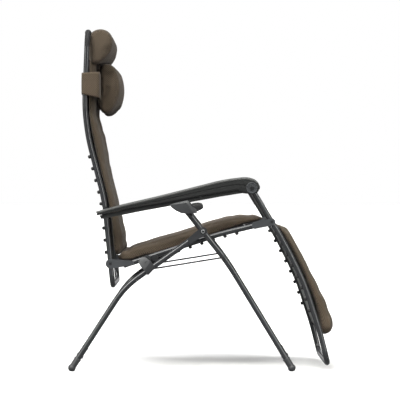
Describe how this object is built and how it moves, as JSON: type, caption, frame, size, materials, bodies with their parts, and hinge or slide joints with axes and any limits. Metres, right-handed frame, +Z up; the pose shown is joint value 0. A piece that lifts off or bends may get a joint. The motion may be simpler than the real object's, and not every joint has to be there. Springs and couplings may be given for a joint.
{
  "type": "zero gravity recliner",
  "caption": "Folding zero gravity recliner: padded mesh back, seat and leg rest laced to tube frames on crossed legs, with armrests, locks and a head pillow.",
  "frame": {"origin": "on the ground under the middle of the chair", "axes": "+X is the way the sitter faces, +Y is the sitter's left, +Z is up"},
  "size_m": [0.9183, 0.718, 1.1778],
  "materials": {
    "leg_tube": "satin powder coat",
    "frame_tube": "satin powder coat",
    "foot_plastic": "matte moulded",
    "fasteners": "zinc plated",
    "stay_rods": "satin black",
    "moulded_plastic": "fine grain",
    "lever_plastic": "fine grain",
    "armrest_plastic": "fine grain",
    "sling_fabric": "woven mesh",
    "lacing": "elastic cord",
    "pad_mesh": "spacer mesh"
  },
  "bodies": {
    "front_legs": {"front_leg_right": "leg_tube", "front_leg_left": "leg_tube", "front_feet": "foot_plastic", "stay_rod_pins": "fasteners", "lock_pivot_pins": "fasteners"},
    "rear_legs": {"rear_leg_right": "leg_tube", "rear_leg_left": "leg_tube", "rear_feet": "foot_plastic", "rear_cross_tube": "leg_tube", "leg_forks": "leg_tube", "crossing_rivets": "fasteners", "pivot_block_right": "moulded_plastic", "pivot_block_left": "moulded_plastic", "seat_pivot_pins": "fasteners"},
    "stay_rods": {"stay_rod_right": "stay_rods", "stay_rod_left": "stay_rods"},
    "seat": {"seat_rail_right": "frame_tube", "seat_rail_left": "frame_tube", "seat_cross_tube_front": "frame_tube", "seat_cross_tube_rear": "frame_tube", "seat_pivot_lugs": "frame_tube", "rear_hinge_bracket_right": "moulded_plastic", "rear_hinge_bracket_left": "moulded_plastic", "front_hinge_bracket_right": "moulded_plastic", "front_hinge_bracket_left": "moulded_plastic", "rear_hinge_pins": "fasteners", "front_hinge_pins": "fasteners", "seat_sling": "sling_fabric", "seat_lacing": "lacing", "seat_pad": "pad_mesh"},
    "back": {"back_side_tube_right": "frame_tube", "back_side_tube_left": "frame_tube", "back_top_tube": "frame_tube", "back_bottom_tube": "frame_tube", "top_tube_sleeve": "foot_plastic", "arm_pivot_pins": "fasteners", "back_sling": "sling_fabric", "back_lacing": "lacing", "back_pad": "pad_mesh", "head_bolster": "pad_mesh"},
    "legrest": {"legrest_side_tube_right": "frame_tube", "legrest_side_tube_left": "frame_tube", "legrest_bottom_tube": "frame_tube", "legrest_sling": "sling_fabric", "legrest_lacing": "lacing", "leg_pad": "pad_mesh"},
    "armrests": {"armrest_pad_right": "armrest_plastic", "armrest_pad_left": "armrest_plastic", "armrest_rail_right": "armrest_plastic", "armrest_rail_left": "armrest_plastic", "hub_bolts": "fasteners"},
    "lock_slides": {"lock_slide_right": "moulded_plastic", "lock_slide_left": "moulded_plastic"},
    "lock_housings": {"lock_housing_right": "moulded_plastic", "lock_housing_left": "moulded_plastic", "lock_lever_pins": "fasteners"},
    "lever_right": {"lock_lever_right": "lever_plastic"},
    "lever_left": {"lock_lever_left": "lever_plastic"},
    "headrest": {"head_pillow": "pad_mesh", "pillow_strap": "pad_mesh"}
  },
  "joints": [
    {"name": "leg_fold", "type": "hinge", "parent": "front_legs", "child": "rear_legs", "pos_m": [0.003, 0, 0.4795], "axis": [0, -1, 0], "range_deg": [0, 55]},
    {"name": "rod_swing", "type": "hinge", "parent": "front_legs", "child": "stay_rods", "pos_m": [0.0728, 0, 0.391], "axis": [0, -1, 0], "range_deg": [0, 50.99]},
    {"name": "seat_tilt", "type": "hinge", "parent": "rear_legs", "child": "seat", "pos_m": [-0.189, 0, 0.3715], "axis": [0, -1, 0], "range_deg": [0, 10.15]},
    {"name": "recline", "type": "hinge", "parent": "seat", "child": "back", "pos_m": [-0.315, 0, 0.368], "axis": [0, -1, 0], "range_deg": [0, 20]},
    {"name": "legrest_lift", "type": "hinge", "parent": "seat", "child": "legrest", "pos_m": [0.2395, 0, 0.512], "axis": [0, -1, 0], "range_deg": [0, 32.16]},
    {"name": "armrest_swing", "type": "hinge", "parent": "back", "child": "armrests", "pos_m": [-0.332, 0, 0.5395], "axis": [0, -1, 0], "range_deg": [-25.13, 0]},
    {"name": "lock_slide_fold", "type": "slide", "parent": "armrests", "child": "lock_slides", "axis": [0.9832, 0, 0.1826], "range_m": [0, 0.094]},
    {"name": "lock_slide_recline", "type": "slide", "parent": "lock_slides", "child": "lock_housings", "axis": [0.9832, 0, 0.1826], "range_m": [0, 0.089]},
    {"name": "lever_right", "type": "hinge", "parent": "lock_housings", "child": "lever_right", "pos_m": [-0.026, 0, 0.55], "axis": [0, -1, 0], "range_deg": [-40, 0]},
    {"name": "lever_left", "type": "hinge", "parent": "lock_housings", "child": "lever_left", "pos_m": [-0.026, 0, 0.55], "axis": [0, -1, 0], "range_deg": [-40, 0]},
    {"name": "headrest_slide", "type": "slide", "parent": "back", "child": "headrest", "axis": [0, 0, 1], "range_m": [-0.04, 0]}
  ],
  "couplings": [
    {"joint": "rod_swing", "follows": "leg_fold", "ratio": 0.9},
    {"joint": "seat_tilt", "follows": "recline", "ratio": 0.4732},
    {"joint": "legrest_lift", "follows": "recline", "ratio": 1.552},
    {"joint": "armrest_swing", "follows": "recline", "ratio": -1.2074},
    {"joint": "lock_slide_fold", "follows": "leg_fold", "m_per_rad": 0.0954},
    {"joint": "lock_slide_recline", "follows": "recline", "m_per_rad": 0.2481}
  ]
}
